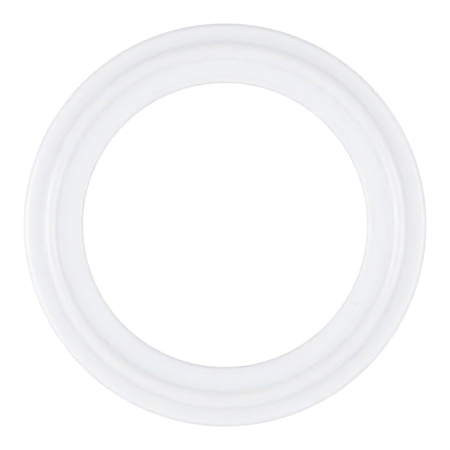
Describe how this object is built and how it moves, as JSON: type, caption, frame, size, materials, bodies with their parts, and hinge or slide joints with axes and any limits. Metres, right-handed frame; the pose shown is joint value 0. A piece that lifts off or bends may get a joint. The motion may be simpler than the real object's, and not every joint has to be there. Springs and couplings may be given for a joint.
{
  "type": "sanitary clamp gasket",
  "caption": "Flat round rubber gasket with a rounded sealing bead on each face, clamped between two pipe ferrules.",
  "frame": {"origin": "centre of the ring, on its mid-plane", "axes": "+Z along the pipe's axis, square to the ring; X and Y across it, alike"},
  "size_m": [0.0505, 0.0504, 0.0032],
  "materials": {
    "silicone": "satin"
  },
  "bodies": {
    "root": {"gasket": "silicone"}
  },
  "joints": []
}
